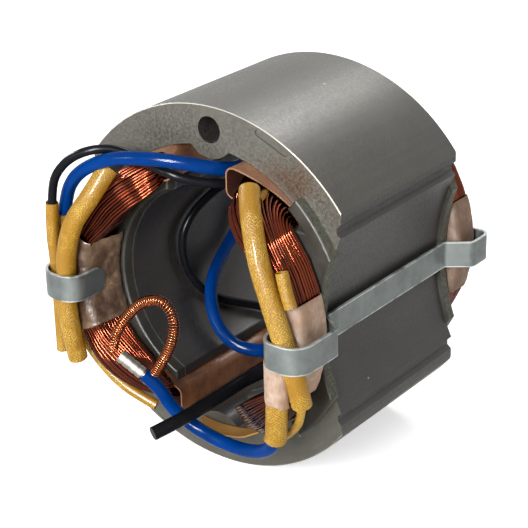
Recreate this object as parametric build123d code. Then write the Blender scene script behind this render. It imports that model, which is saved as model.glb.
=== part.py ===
from build123d import *
import os
from math import cos, radians, sin, tan

# Wound stator of a small universal motor. Millimetres. The motor's axis is Y, the front (lead) end of the
# core lies at y = 0 and its rear end at y = core_length. The two poles face each other along X, and the
# two long screws pass through the core above and below the bore, in the plane X = 0.

# Core, as seen from its end
core_length = 42.0
core_rim_chamfer = 0.2
core_radius = 40.0
core_width = 63.6
bore_radius = 22.5
shoe_thickness = 2.4
yoke_inner_radius = 31.5
pole_half_height = 19.6
tip_gap = 18.3
tip_fillet = 0.5
recess_depth = 4.4
recess_half_height = 19.1
groove_depth = 0.95
groove_mouth = 2.8
groove_floor = 1.2
groove_height = 20.5
screw_hole_radius = 2.8
screw_inset = 5.0
screw_boss_radius = 6.1
dimple_length = 8.5
dimple_width = 1.6
dimple_depth = 0.3
dimple_inset = 1.4
dimple_angle = 66.2

# End insulators
insulator_thickness = 2.5
insulator_edge_radius = 0.5
insulator_outer_radius = 34.6
insulator_half_angle = 48.5
insulator_bore_step = 0.4
insulator_side_step = 1.0
insulator_tip_step = 0.3

# Slot papers
liner_wall = 0.35
liner_clearance = 0.08
liner_gap_half = 7.0
liner_protrusion = 4.0
liner_relief = 0.8
liner_corner = 1.8
liner_slope_start = 9.0
liner_slope = 0.27
liner_short_protrusion = 0.4
liner_flap_right = 13.0
liner_flap_left = -4.0
liner_flap_reach = 4.5
liner_flap_lift = 0.3
liner_flap_taper = 3.0

# Coils
coil_clearance = 0.12
coil_top_clearance = 1.2
coil_top_corner = 1.3
coil_bulge = 2.8
coil_pinch_half_angle = 28.0
coil_height = 28.0
coil_front_reach = 11.8
coil_rear_reach = 10.3
coil_standoff = 3.2
coil_front_corner = 14.0
coil_rear_corner = 12.0
coil_inner_corner = 0.6
coil_edge_radius = 1.2

# Paper collars round the end turns
wrap_thickness = 0.35
wrap_clearance = 0.15
wrap_middle_angle = -4.0
wrap_span_angle_right = 40.0
wrap_span_angle_left = 42.0

# Straps
strap_width = 5.8
strap_thickness = 0.6
strap_height = -0.4
strap_inner_gap = 0.95
strap_outer_gap = 3.35
strap_side_clearance = 0.2
strap_front_gap = 5.55
strap_rear_gap = 1.4
strap_front_tip = 7.5
strap_rear_tip = 7.0
strap_shoulder = 4.4
strap_seat_inset = 0.9
strap_tip_radius = 2.8
strap_front_bends = (3.6, 4.2)
strap_side_bends = (1.5, 1.2)
strap_rear_bend = 2.4

# Sleeves and leads: outer radius, wall
big_sleeve_radius = 2.1
brush_sleeve_radius = 2.2
big_sleeve_wall = 0.5
black_sleeve_radius = 1.35
black_sleeve_wall = 0.33
blue_sleeve_radius = 1.75
blue_sleeve_wall = 0.25
return_sleeve_radius = 1.15
short_sleeve_radius = 1.3
thin_sleeve_radius = 0.85
thin_sleeve_wall = 0.3
blue_lead_radius = 1.45
black_lead_radius = 0.95
black_end_radius = 1.45
blue_tip_radius = 0.75
blue_tip_length = 5.0
ferrule_radius = 1.35
ferrule_gap = 0.4
ferrule_mouth_radius = 1.1
ferrule_mouth_depth = 1.0
ferrule_ring_shares = (0.22, 0.5, 0.78)
strand_radius = 0.8
strand_clearance = 0.05
strand_length = 4.0
ferrule_groove_depth = 0.15
ferrule_groove_width = 0.4
contact_spring_radius = 1.17
splice_clearance = 0.15
splice_length = 4.0
pick_margin = 0.05

# Worked out from the above
screw_pitch = 2 * (core_radius - screw_inset)
dimple_radius = core_radius - dimple_inset
shoe_back_radius = bore_radius + shoe_thickness
recess_radius = (recess_half_height**2 + recess_depth**2) / (2 * recess_depth)
recess_centre = core_width / 2 - recess_depth + recess_radius
insulator_side = core_width / 2 - recess_depth + insulator_side_step
coil_inner_radius = shoe_back_radius + liner_clearance + liner_wall + coil_clearance
coil_outer_radius = yoke_inner_radius - liner_clearance - liner_wall - coil_clearance
coil_inner_height = pole_half_height + liner_clearance + liner_wall + coil_clearance
coil_gap_half = liner_gap_half + liner_clearance + liner_wall + coil_top_clearance
coil_front = -coil_front_reach
coil_rear = core_length + coil_rear_reach
lobe_rear = -liner_protrusion - coil_clearance
strap_inner_face = coil_inner_radius - strap_inner_gap
strap_outer_face = coil_outer_radius + strap_outer_gap
strap_front_reach = coil_front_reach + strap_front_gap
strap_rear_reach = coil_rear_reach + strap_rear_gap


def along_axis(profile, start, end):
    """Extrude an end-view profile (x, z) from y = start to y = end."""
    plane = Plane(origin=(0, start, 0), x_dir=(1, 0, 0), z_dir=(0, -1, 0))
    return extrude(plane * profile, amount=start - end)


def quadrant(side, level, gap):
    """Everything beyond the pole root in one quarter of the end view, clear of the middle by gap."""
    reach = core_radius
    centre = (side * (gap + reach / 2), level * (pole_half_height + reach / 2))
    return Pos(*centre) * Rectangle(reach, reach)


def slot_profile(side, level, gap=0.0):
    """One winding slot, between the back of the pole shoe and the yoke."""
    ring = Circle(yoke_inner_radius) - Circle(shoe_back_radius)
    return ring & quadrant(side, level, gap)


def core_profile():
    """End view of a lamination."""
    profile = Circle(core_radius) & Rectangle(core_width, 2 * core_radius)
    groove = Polygon(
        (core_width / 2, groove_mouth / 2),
        (core_width / 2 - groove_depth, groove_floor / 2),
        (core_width / 2 - groove_depth, -groove_floor / 2),
        (core_width / 2, -groove_mouth / 2),
        align=None,
    )
    for side in (-1, 1):
        profile -= Pos(side * recess_centre, 0) * Circle(recess_radius)
    for turn in (0, 180):
        for level in (-1, 1):
            profile -= Rot(0, 0, turn) * Pos(0, level * groove_height) * groove
    profile -= Circle(bore_radius)
    for side in (-1, 1):
        for level in (-1, 1):
            profile -= slot_profile(side, level)
    gap = Rectangle(tip_gap, 2 * yoke_inner_radius) & Circle(yoke_inner_radius)
    profile -= gap
    tips = [corner for corner in profile.vertices() if is_pole_tip(corner)]
    profile = fillet(tips, tip_fillet)
    for level in (-1, 1):
        profile += Pos(0, level * screw_pitch / 2) * Circle(screw_boss_radius) & Circle(core_radius)
    for level in (-1, 1):
        profile -= Pos(0, level * screw_pitch / 2) * Circle(screw_hole_radius)
    return profile


def is_pole_tip(corner):
    """True for the corners at the free ends of the pole shoes."""
    at_gap = abs(abs(corner.X) - tip_gap / 2) < pick_margin
    return at_gap and abs(corner.Y) < shoe_back_radius


def build_core():
    core = along_axis(core_profile(), 0, core_length)
    slot = SlotOverall(dimple_length, dimple_width, rotation=90)
    dimple = Rot(0, 0, dimple_angle) * Pos(dimple_radius, 0) * slot
    for turn in (0, 180):
        core -= along_axis(Rot(0, 0, turn) * dimple, -1, dimple_depth)
    return chamfer([edge for edge in core.edges() if is_rim(edge)], core_rim_chamfer)


def is_rim(edge):
    """True for the outer edges of the two end faces."""
    return edge.geom_type == GeomType.CIRCLE and abs(edge.radius - core_radius) < pick_margin


def insulator_profile(side):
    """Plate on the end of one pole, with a flange that follows the pole shoe."""
    reach = 2 * core_radius
    angle = radians(insulator_half_angle)
    wedge = Polygon(
        (0, 0),
        (reach * cos(angle), reach * sin(angle)),
        (reach * cos(angle), -reach * sin(angle)),
        align=None,
    )
    inner = bore_radius + insulator_bore_step
    plate = (Circle(insulator_outer_radius) - Circle(inner)) & wedge
    plate -= Pos(recess_centre, 0) * Circle(recess_radius - insulator_side_step)
    flange = Circle(shoe_back_radius) - Circle(inner)
    flange &= Pos(tip_gap / 2 + insulator_tip_step + reach / 2, 0) * Rectangle(reach, reach)
    plate = plate + flange
    for level in (-1, 1):
        plate -= slot_profile(1, level)
    return plate if side > 0 else mirror(plate, Plane.YZ)


def build_insulator(side, end):
    start = -insulator_thickness if end == "front" else core_length
    plate = along_axis(insulator_profile(side), start, start + insulator_thickness)
    free = start if end == "front" else start + insulator_thickness
    edges = plate.edges().filter_by_position(Axis.Y, free - pick_margin, free + pick_margin)
    return fillet(edges, insulator_edge_radius)


def round_gap_side(profile, radius):
    """Round the two corners of a slot's section that are nearest the middle."""
    corners = sorted(profile.vertices(), key=lambda corner: abs(corner.X))[:2]
    return fillet(corners, radius)


def build_liner(side, level):
    """Slot paper: a thin tube round one side of a coil. The upper right one is trimmed at a slant."""
    slot = slot_profile(side, level, liner_gap_half)
    outer = offset(slot, amount=-liner_clearance, kind=Kind.INTERSECTION)
    inner = offset(slot, amount=-liner_clearance - liner_wall, kind=Kind.INTERSECTION)
    outer = round_gap_side(outer, liner_corner)
    inner = round_gap_side(inner, liner_corner - liner_wall)
    flapped = side > 0 > level
    start = -liner_short_protrusion if flapped else -liner_protrusion
    end = core_length + liner_protrusion
    liner = along_axis(outer - inner, start, end)
    relief_height = 2 * (pole_half_height + liner_relief)
    relief = Rectangle(2 * core_radius, relief_height)
    liner -= along_axis(relief, start - 1, -insulator_thickness)
    liner -= along_axis(relief, core_length + insulator_thickness, end + 1)
    if flapped:
        return liner + build_flap()
    if side < 0:
        return liner
    trim = Polygon(
        (liner_slope_start, start),
        (core_radius, start),
        (core_radius, start + liner_slope * (core_radius - liner_slope_start)),
        align=None,
    )
    liner -= extrude(trim, amount=core_radius, both=True)
    return liner


def build_flap():
    """Free edge of the lower right slot paper, curled along the yoke in front of the lower boss."""
    outer = yoke_inner_radius - liner_clearance
    ring = along_axis(Circle(outer) - Circle(outer - liner_wall), -liner_flap_reach, liner_flap_reach)
    root = liner_gap_half + liner_clearance + liner_corner
    outline = Polygon(
        (liner_flap_right, liner_flap_reach),
        (liner_flap_right, liner_flap_taper - liner_flap_reach),
        (liner_flap_right - liner_flap_taper, -liner_flap_reach),
        (liner_flap_left + liner_flap_taper, -liner_flap_reach),
        (liner_flap_left, liner_flap_taper - liner_flap_reach),
        (liner_flap_left, -liner_flap_lift),
        (root, -liner_flap_lift),
        (root, liner_flap_reach),
        align=None,
    )
    return ring & Pos(0, 0, -core_radius) * extrude(outline, amount=core_radius / 2, both=True)


def coil_loop():
    """Side view (y, z) of a coil."""
    middle = (coil_front + coil_rear) / 2
    outer = Pos(middle, 0) * Rectangle(coil_rear - coil_front, 2 * coil_height)
    front_corners = outer.vertices().sort_by(Axis.X)[:2]
    outer = fillet(front_corners, coil_front_corner)
    rear_corners = outer.vertices().sort_by(Axis.X)[-2:]
    outer = fillet(rear_corners, coil_rear_corner)
    inner_length = core_length + 2 * coil_standoff
    window = RectangleRounded(inner_length, 2 * coil_inner_height, coil_inner_corner)
    inner = Pos(core_length / 2, 0) * window
    return outer - inner


def rounded_outline():
    """End view that rounds a coil's corners nearest the middle."""
    ring = Circle(coil_outer_radius) - Circle(coil_inner_radius)
    outline = Pos(core_radius / 2, 0) * Rectangle(core_radius, 2 * coil_inner_height)
    for level in (-1, 1):
        reach = core_radius
        centre = (coil_gap_half + reach / 2, level * (coil_inner_height + reach / 2))
        side = ring & Pos(*centre) * Rectangle(reach, reach)
        outline += round_gap_side(side, coil_top_corner)
    return outline


def bulge_section(level):
    """End view of the part of an end turn that bulges into the bore beyond the strap and collar."""
    ring = Circle(coil_outer_radius - coil_edge_radius) - Circle(coil_inner_radius - coil_bulge)
    angle = radians(coil_pinch_half_angle)
    beyond = Polygon(
        (core_radius * cos(angle), level * core_radius * sin(angle)),
        (0, 0),
        (coil_gap_half, 0),
        (coil_gap_half, level * core_radius),
        (core_radius, level * core_radius),
        align=None,
    )
    lobe = ring & beyond
    inner = lobe.vertices().sort_by_distance((0, 0, 0))[:2]
    return fillet(inner, coil_edge_radius)


def build_coil(side):
    """A field coil: straight sides in the slots and end turns that follow the bore's curve."""
    ring = along_axis(Circle(coil_outer_radius) - Circle(coil_inner_radius), coil_front, coil_rear)
    loop = extrude(Plane.YZ * coil_loop(), amount=core_radius)
    coil = ring & Pos(coil_gap_half, 0, 0) * loop
    rounded = [edge for edge in coil.edges() if edge.center().X > coil_gap_half + pick_margin]
    coil = fillet(rounded, coil_edge_radius)
    coil &= along_axis(rounded_outline(), coil_front, coil_rear)
    for level in (-1, 1):
        lobe = along_axis(bulge_section(level), coil_front + coil_edge_radius, lobe_rear)
        coil += lobe & loop
    return coil if side > 0 else mirror(coil, Plane.YZ)


def build_wrap(side, end):
    """Paper collar round the middle of an end turn."""
    if end == "front":
        low, high = coil_front, -coil_standoff
    else:
        low, high = core_length + coil_standoff, coil_rear
    gap = wrap_clearance
    wall = wrap_clearance + wrap_thickness
    middle = ((coil_inner_radius + coil_outer_radius) / 2, (low + high) / 2)
    across = coil_outer_radius - coil_inner_radius
    depth = high - low
    outer = RectangleRounded(across + 2 * wall, depth + 2 * wall, coil_edge_radius + wall)
    inner = RectangleRounded(across + 2 * gap, depth + 2 * gap, coil_edge_radius + gap)
    section = Pos(*middle) * (outer - inner)
    span = wrap_span_angle_right if side > 0 else wrap_span_angle_left
    collar = revolve(section, axis=Axis.Y, revolution_arc=span)
    collar = Rot(0, -wrap_middle_angle - span / 2, 0) * collar
    return collar if side > 0 else mirror(collar, Plane.YZ)


def build_strap(side):
    """Metal strap: hooked over both end turns and drawn along the side of the core."""
    half = strap_thickness / 2
    inner_line = strap_inner_face - half
    outer_line = strap_outer_face - half
    side_line = insulator_side + strap_side_clearance + half
    front_line = -strap_front_reach + half
    rear_line = core_length + strap_rear_reach - half
    bends = [*strap_front_bends, *strap_side_bends, *reversed(strap_side_bends)]
    bends += [strap_rear_bend, strap_rear_bend]
    path = FilletPolyline(
        (inner_line, -strap_front_tip, strap_height),
        (inner_line, front_line, strap_height),
        (outer_line, front_line, strap_height),
        (outer_line, -strap_shoulder, strap_height),
        (side_line, -strap_seat_inset, strap_height),
        (side_line, core_length + strap_seat_inset, strap_height),
        (outer_line, core_length + strap_shoulder, strap_height),
        (outer_line, rear_line, strap_height),
        (inner_line, rear_line, strap_height),
        (inner_line, core_length + strap_rear_tip, strap_height),
        radius=bends,
    )
    end_plane = Plane(origin=path @ 0, x_dir=(0, 0, 1), z_dir=path % 0)
    section = end_plane * Rectangle(strap_width, strap_thickness)
    strap = sweep(section, path=path)
    for tip in (-strap_front_tip, core_length + strap_rear_tip):
        corners = strap.edges().filter_by(Axis.X)
        corners = corners.filter_by_position(Axis.Y, tip - pick_margin, tip + pick_margin)
        strap = fillet(corners, strap_tip_radius)
    return strap if side > 0 else mirror(strap, Plane.YZ)


def bend_radii(points):
    """As large a radius at each corner of a route as its two runs allow."""
    radii = []
    for before, corner, after in zip(points, points[1:], points[2:]):
        run_in = Vector(*corner) - Vector(*before)
        run_out = Vector(*after) - Vector(*corner)
        half_turn = radians(run_in.get_angle(run_out)) / 2
        radii.append(0.45 * min(run_in.length, run_out.length) / tan(half_turn))
    return radii


def tube(points, radius, wall=None, name=""):
    """Round tube or solid lead along a route of straight runs and tangent arcs."""
    if len(points) == 2:
        route = Line(*points)
        radii = []
    else:
        radii = bend_radii(points)
        route = FilletPolyline(*points, radius=radii)
    disc = Circle(radius)
    area = disc.area
    if wall:
        disc -= Circle(radius - wall)
        area = disc.area
    section = Plane(origin=route @ 0, z_dir=route % 0) * disc
    solid = sweep(section, path=route)
    if name:
        tightest = min(radii) / (2 * radius) if radii else 0
        share = solid.volume / (area * route.length)
        print(name, "length", round(route.length, 1), "volume share", round(share, 4))
        print("  radii", [round(value, 1) for value in radii])
        print("  tightest in diameters", round(tightest, 2))
    return solid


# Routes. Points are on the centre lines, from the coil outwards.
main_right_route = [
    (15.0, -6.5, 27.8),
    (17.0, -9.1, 25.9),
    (18.9, -11.1, 23.6),
    (21.9, -13.7, 18.9),
    (23.6, -14.3, 14.8),
    (25.5, -14.55, 10.2),
    (28.6, -14.55, 1.8),
    (30.5, -14.5, -3.3),
    (31.4, -14.0, -7.0),
    (31.4, -12.8, -11.3),
]
brush_sleeve_route = [(26.9, -14.75, -9.2), (26.4, -14.35, -14.6), (25.1, -13.1, -21.0)]
tail_right_route = [
    (31.4, -12.8, -11.0),
    (30.0, -11.2, -15.9),
    (26.6, -9.3, -20.4),
    (21.9, -7.3, -24.7),
    (16.6, -5.0, -27.6),
]
short_right_route = [(27.6, -13.4, 16.0), (28.6, -13.7, 12.6), (30.0, -13.9, 9.4)]
inner_right_route = [(20.6, -10.7, 26.6), (19.4, -7.9, 27.9), (18.2, -5.1, 28.7)]
main_left_route = [
    (-19.5, -9.0, 25.6),
    (-20.1, -11.2, 23.2),
    (-21.2, -13.0, 20.3),
    (-23.2, -14.0, 17.2),
    (-25.5, -14.5, 13.8),
    (-27.8, -14.6, 7.1),
    (-28.4, -14.55, 1.5),
    (-28.8, -14.55, -4.5),
    (-28.4, -14.5, -11.4),
    (-28.3, -13.0, -18.5),
]
black_sleeve_route = [
    (-31.7, -13.7, 16.9),
    (-32.5, -13.6, 10.4),
    (-32.25, -13.3, 2.9),
    (-32.35, -13.2, -6.0),
    (-32.7, -13.0, -17.8),
]
blue_sleeve_route = [(-31.9, -10.1, 13.5), (-32.9, -10.2, 9.3), (-33.5, -10.3, 4.7)]
return_left_route = [
    (-31.0, -9.6, -11.6),
    (-29.4, -9.2, -15.8),
    (-27.0, -8.6, -19.6),
    (-23.9, -8.0, -22.9),
    (-20.4, -7.2, -25.7),
    (-16.6, -6.0, -27.8),
    (-13.6, -5.0, -29.2),
]
blue_long_route = [
    (-32.45, -10.155, 11.19),
    (-31.2, -10.03, 16.44),
    (-28.6, -11.2, 20.8),
    (-25.2, -11.6, 24.4),
    (-20.7, -11.2, 27.2),
    (-16.0, -10.3, 28.9),
    (-10.6, -9.0, 29.6),
    (-4.9, -6.5, 29.4),
    (0.3, -3.3, 28.4),
    (3.6, 0.9, 27.1),
    (4.6, 6.0, 26.2),
    (4.6, 12.0, 25.6),
    (2.5, 18.8, 25.0),
    (-0.8, 25.4, 24.2),
    (-4.8, 31.0, 21.8),
    (-10.3, 35.0, 17.3),
    (-15.6, 36.9, 11.8),
    (-19.0, 37.0, 5.0),
    (-20.3, 34.6, -0.8),
    (-20.0, 30.3, -4.4),
    (-18.7, 25.3, -6.0),
    (-17.0, 20.3, -7.7),
    (-15.2, 16.6, -10.2),
    (-13.1, 14.3, -13.3),
    (-9.9, 12.7, -17.0),
    (-5.3, 12.5, -19.8),
    (-0.4, 14.9, -20.8),
    (2.9, 19.3, -20.6),
    (3.9, 24.8, -20.3),
]
black_long_route = [
    (-31.94, -13.67, 14.91),
    (-31.33, -13.75, 19.87),
    (-29.0, -14.6, 24.2),
    (-25.6, -13.7, 28.0),
    (-21.6, -11.6, 30.0),
    (-18.0, -8.6, 30.0),
    (-14.6, -6.5, 28.5),
    (-10.6, -6.1, 27.2),
    (-5.8, -6.3, 26.4),
    (-1.4, -3.6, 24.8),
    (2.4, 0.2, 23.9),
    (4.2, 4.8, 23.2),
    (4.8, 10.0, 22.8),
    (4.2, 15.6, 22.4),
    (1.6, 21.0, 21.6),
    (-3.0, 25.8, 20.6),
    (-9.0, 28.6, 18.7),
    (-14.2, 29.0, 15.0),
    (-17.6, 26.4, 11.4),
    (-19.0, 21.6, 9.6),
    (-20.1, 17.0, 6.6),
    (-21.0, 14.6, 2.4),
    (-21.0, 14.4, -2.6),
    (-19.8, 15.2, -7.4),
    (-17.9, 17.2, -11.4),
    (-15.8, 20.4, -14.2),
    (-13.7, 24.6, -16.2),
    (-11.0, 29.0, -18.1),
    (-6.6, 32.4, -20.0),
    (-0.6, 33.4, -21.0),
    (5.0, 31.9, -20.6),
    (8.8, 27.2, -19.2),
    (10.6, 21.6, -18.3),
    (10.6, 16.0, -18.2),
    (9.1, 11.15, -19.05),
    (7.4, 7.2, -19.6),
]
black_end_route = [
    (7.4, 7.2, -19.6),
    (5.5, 2.8, -20.2),
    (5.4, -4.3, -20.5),
    (4.9, -11.6, -20.9),
    (3.5, -18.4, -21.8),
    (1.4, -23.0, -22.9),
]
blue_brush_route = [
    (25.8, -13.8, -16.87),
    (24.57, -12.66, -22.55),
    (20.3, -11.1, -26.5),
    (14.6, -10.0, -28.6),
    (7.9, -9.8, -28.8),
    (1.9, -10.8, -26.8),
    (-2.7, -12.4, -23.0),
    (-4.64, -13.73, -17.99),
    (-7.5, -15.0, -15.5),
]
ferrule_route = [(-7.5, -15.0, -15.5), (-12.0, -17.0, -11.58)]
spring_route = [
    (-14.0, -16.9, -10.8),
    (-13.6, -16.8, -8.2),
    (-12.2, -16.2, -5.2),
    (-9.9, -15.5, -1.8),
    (-6.9, -15.5, 1.1),
    (-3.3, -15.5, 3.0),
    (-0.2, -15.5, 3.1),
    (1.7, -15.5, 0.9),
    (2.0, -15.5, -2.2),
    (0.9, -15.5, -5.8),
    (-1.2, -15.4, -9.8),
    (-4.2, -15.2, -14.2),
]


def build_ferrule():
    """Crimped ferrule: a short tube with a wider mouth and three pressed rings."""
    lead_end = Vector(*ferrule_route[0])
    end = Vector(*ferrule_route[1])
    axis = (end - lead_end).normalized()
    start = lead_end + axis * ferrule_gap
    length = (end - start).length
    outer = Circle(ferrule_radius)
    barrel = extrude(Plane(origin=start, z_dir=axis) * outer, amount=length)
    bore = Circle(strand_radius + strand_clearance)
    barrel -= extrude(Plane(origin=start, z_dir=axis) * bore, amount=length)
    mouth = Circle(ferrule_mouth_radius)
    barrel -= extrude(Plane(origin=start, z_dir=axis) * mouth, amount=ferrule_mouth_depth)
    for share in ferrule_ring_shares:
        plane = Plane(origin=start + axis * (length * share), z_dir=axis)
        ring = Circle(2 * ferrule_radius) - Circle(ferrule_radius - ferrule_groove_depth)
        groove = extrude(plane * ring, amount=ferrule_groove_width / 2, both=True)
        barrel -= groove
    return barrel


def rod_beyond(start, inner, radius, length):
    """Round rod from the end of a route, in line with its last run."""
    axis = (Vector(*start) - Vector(*inner)).normalized()
    return extrude(Plane(origin=Vector(*start), z_dir=axis) * Circle(radius), amount=length)


def splice(route, radius):
    """Crimped joint between a winding tail and the lead that starts at the route's first point."""
    return rod_beyond(route[0], route[1], radius, splice_length)


parts = {"stator_core": build_core()}
for side, side_name in ((-1, "left"), (1, "right")):
    for end in ("front", "rear"):
        parts[f"end_insulator_{end}_{side_name}"] = build_insulator(side, end)
        parts[f"coil_wrap_{end}_{side_name}"] = build_wrap(side, end)
    for level, level_name in ((1, "upper"), (-1, "lower")):
        parts[f"slot_liner_{level_name}_{side_name}"] = build_liner(side, level)
    parts[f"coil_{side_name}"] = build_coil(side)
    parts[f"strap_{side_name}"] = build_strap(side)

sleeves = {
    "sleeve_main_right": (main_right_route, big_sleeve_radius, big_sleeve_wall),
    "sleeve_brush_lead": (brush_sleeve_route, brush_sleeve_radius, big_sleeve_wall),
    "sleeve_tail_right": (tail_right_route, thin_sleeve_radius, thin_sleeve_wall),
    "sleeve_short_right": (short_right_route, short_sleeve_radius, thin_sleeve_wall),
    "sleeve_inner_right": (inner_right_route, thin_sleeve_radius, thin_sleeve_wall),
    "sleeve_main_left": (main_left_route, big_sleeve_radius, big_sleeve_wall),
    "sleeve_black_lead": (black_sleeve_route, black_sleeve_radius, black_sleeve_wall),
    "sleeve_blue_lead": (blue_sleeve_route, blue_sleeve_radius, blue_sleeve_wall),
    "sleeve_return_left": (return_left_route, return_sleeve_radius, thin_sleeve_wall),
}
for name, (route, radius, wall) in sleeves.items():
    parts[name] = tube(route, radius, wall, name)

leads = {
    "lead_blue_long": (blue_long_route, blue_lead_radius),
    "lead_black_long": (black_long_route, black_lead_radius),
    "lead_blue_brush": (blue_brush_route, blue_lead_radius),
    "black_end_tube": (black_end_route, black_end_radius),
    "contact_spring": (spring_route, contact_spring_radius),
}
for name, (route, radius) in leads.items():
    parts[name] = tube(route, radius, name=name)

parts["lead_blue_tip"] = rod_beyond(
    blue_long_route[-1], blue_long_route[-2], blue_tip_radius, blue_tip_length
)
parts["crimp_ferrule"] = build_ferrule()
parts["brush_lead_strands"] = rod_beyond(
    blue_brush_route[-1], blue_brush_route[-2], strand_radius, strand_length
)
parts["splice_blue_brush"] = splice(blue_brush_route, blue_lead_radius - splice_clearance)
parts["splice_blue_long"] = splice(blue_long_route, blue_lead_radius - splice_clearance)
parts["splice_black_long"] = splice(black_long_route, black_lead_radius - splice_clearance)

os.makedirs("parts", exist_ok=True)
for name, solid in parts.items():
    export_step(solid, f"parts/{name}.step")
print("wrote", len(parts), "parts")
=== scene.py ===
import math
import random

import bpy
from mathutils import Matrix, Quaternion, Vector, noise


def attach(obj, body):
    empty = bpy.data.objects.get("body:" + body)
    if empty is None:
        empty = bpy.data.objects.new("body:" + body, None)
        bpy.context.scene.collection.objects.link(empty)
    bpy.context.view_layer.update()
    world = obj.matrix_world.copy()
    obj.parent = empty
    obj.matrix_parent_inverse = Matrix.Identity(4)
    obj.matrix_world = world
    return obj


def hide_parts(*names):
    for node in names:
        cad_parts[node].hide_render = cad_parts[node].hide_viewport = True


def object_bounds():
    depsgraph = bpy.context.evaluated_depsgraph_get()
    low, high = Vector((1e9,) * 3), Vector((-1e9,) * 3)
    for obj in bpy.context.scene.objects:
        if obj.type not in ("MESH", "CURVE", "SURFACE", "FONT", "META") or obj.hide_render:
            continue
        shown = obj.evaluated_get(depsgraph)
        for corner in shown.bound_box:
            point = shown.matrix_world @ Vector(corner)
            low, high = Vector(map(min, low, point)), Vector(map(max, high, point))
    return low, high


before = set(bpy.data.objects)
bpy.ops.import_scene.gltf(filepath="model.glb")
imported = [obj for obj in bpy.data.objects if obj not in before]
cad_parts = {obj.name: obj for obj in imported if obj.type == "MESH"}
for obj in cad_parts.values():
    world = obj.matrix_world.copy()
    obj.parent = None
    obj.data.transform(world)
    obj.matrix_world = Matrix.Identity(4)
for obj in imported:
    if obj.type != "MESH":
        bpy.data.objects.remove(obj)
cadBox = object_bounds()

print("frame loaded, CAD nodes:", len(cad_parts))

scene = bpy.context.scene
scene.view_settings.view_transform = "Standard"
fullTurn = 2 * math.pi


# Camera, floor and light

photoView = {
    "azimuth": 37.976,
    "elevation": 24.047,
    "roll": -1.462,
    "distance": 0.352691,
    "target": (-0.001767, 0.018934, -0.001585),
    "lens": 111.16,
    "sensor": 36.0,
}


def placeObject(name, data):
    item = bpy.data.objects.new(name, data)
    scene.collection.objects.link(item)
    return item


def placeCamera(view):
    azimuth = math.radians(view["azimuth"])
    elevation = math.radians(view["elevation"])
    level = math.cos(elevation)
    back = Vector((math.sin(azimuth) * level, -math.cos(azimuth) * level, math.sin(elevation)))
    data = bpy.data.cameras.new("camera")
    data.lens = view["lens"]
    data.sensor_width = view["sensor"]
    data.clip_start = 0.02
    data.clip_end = 20
    camera = placeObject("camera", data)
    camera.rotation_mode = "QUATERNION"
    roll = Quaternion((0, 0, 1), math.radians(view["roll"]))
    camera.rotation_quaternion = (-back).to_track_quat("-Z", "Y") @ roll
    camera.location = Vector(view["target"]) + back * view["distance"]
    scene.camera = camera


lamps = {
    "overhead": {"place": (-0.10, 0.40, 0.52), "size": (0.22, 0.22), "watts": 2.6, "diffuse": True},
    "key": {"place": (-0.20, -0.56, 0.20), "size": (0.14, 0.14), "watts": 1.6, "diffuse": True},
    "front": {"place": (0.155, -0.527, 0.279), "size": (0.22, 0.22), "watts": 2.6, "diffuse": True},
    "fill": {"place": (0.60, -0.30, 0.20), "size": (0.50, 0.50), "watts": 0.7, "diffuse": True},
    "frontGlint": {"place": (0.155, -0.527, 0.279), "size": (0.13, 0.40), "watts": 30.0, "diffuse": False},
    "sideGlint": {"place": (-0.58, 0.07, 0.28), "size": (0.10, 0.10), "watts": 4.0, "diffuse": False},
}
aimPoint = Vector((0, 0.02, 0))


def placeLamps():
    for name, lamp in lamps.items():
        data = bpy.data.lights.new(name, "AREA")
        data.shape = "ELLIPSE"
        data.size, data.size_y = lamp["size"]
        data.energy = lamp["watts"]
        light = placeObject(name, data)
        light.location = lamp["place"]
        # a glint shows on gloss and metal only
        light.visible_diffuse = lamp["diffuse"]
        light.rotation_mode = "QUATERNION"
        light.rotation_quaternion = (aimPoint - light.location).to_track_quat("-Z", "Y")


def pickSocket(sockets, key):
    if isinstance(key, int):
        return sockets[key]
    return next(socket for socket in sockets if socket.name == key and socket.enabled)


def addNode(tree, kind, inputs=None, **settings):
    node = tree.nodes.new(kind)
    for name, value in settings.items():
        setattr(node, name, value)
    for key, value in (inputs or {}).items():
        socket = pickSocket(node.inputs, key)
        if isinstance(value, bpy.types.NodeSocket):
            tree.links.new(value, socket)
        else:
            socket.default_value = value
    return node


def made(tree, kind, inputs=None, **settings):
    return addNode(tree, kind, inputs, **settings).outputs[0]


def calc(tree, operation, *values):
    return made(tree, "ShaderNodeMath", dict(enumerate(values)), operation=operation)


def times(tree, first, *others):
    for value in others:
        first = calc(tree, "MULTIPLY", first, value)
    return first


def vectorCalc(tree, operation, *values):
    node = addNode(tree, "ShaderNodeVectorMath", dict(enumerate(values)), operation=operation)
    return node.outputs["Value"] if operation in ("LENGTH", "DISTANCE") else node.outputs["Vector"]


def split(tree, vector):
    return addNode(tree, "ShaderNodeSeparateXYZ", {0: vector}).outputs


def fade(tree, value, start, end, low=0.0, high=1.0):
    # low before start, high after end, smooth between them
    inputs = {"Value": value, "From Min": start, "From Max": end, "To Min": low, "To Max": high}
    return made(tree, "ShaderNodeMapRange", inputs, interpolation_type="SMOOTHSTEP")


def blendColour(tree, share, first, second, kind="MIX"):
    node = addNode(tree, "ShaderNodeMix", {0: share, 6: first, 7: second}, data_type="RGBA", blend_type=kind)
    return node.outputs[2]


def blendValue(low, high, share):
    return low + (high - low) * share


def colour(red, green, blue):
    # 0 to 255 as seen on screen, to the linear values of a shader
    def linear(value):
        value /= 255
        return value / 12.92 if value <= 0.04045 else ((value + 0.055) / 1.055) ** 2.4

    return (linear(red), linear(green), linear(blue), 1.0)


def newPiece(name, points, faces, material):
    mesh = bpy.data.meshes.new(name)
    mesh.from_pydata(points, [], faces)
    mesh.materials.append(material)
    return placeObject(name, mesh)


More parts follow.
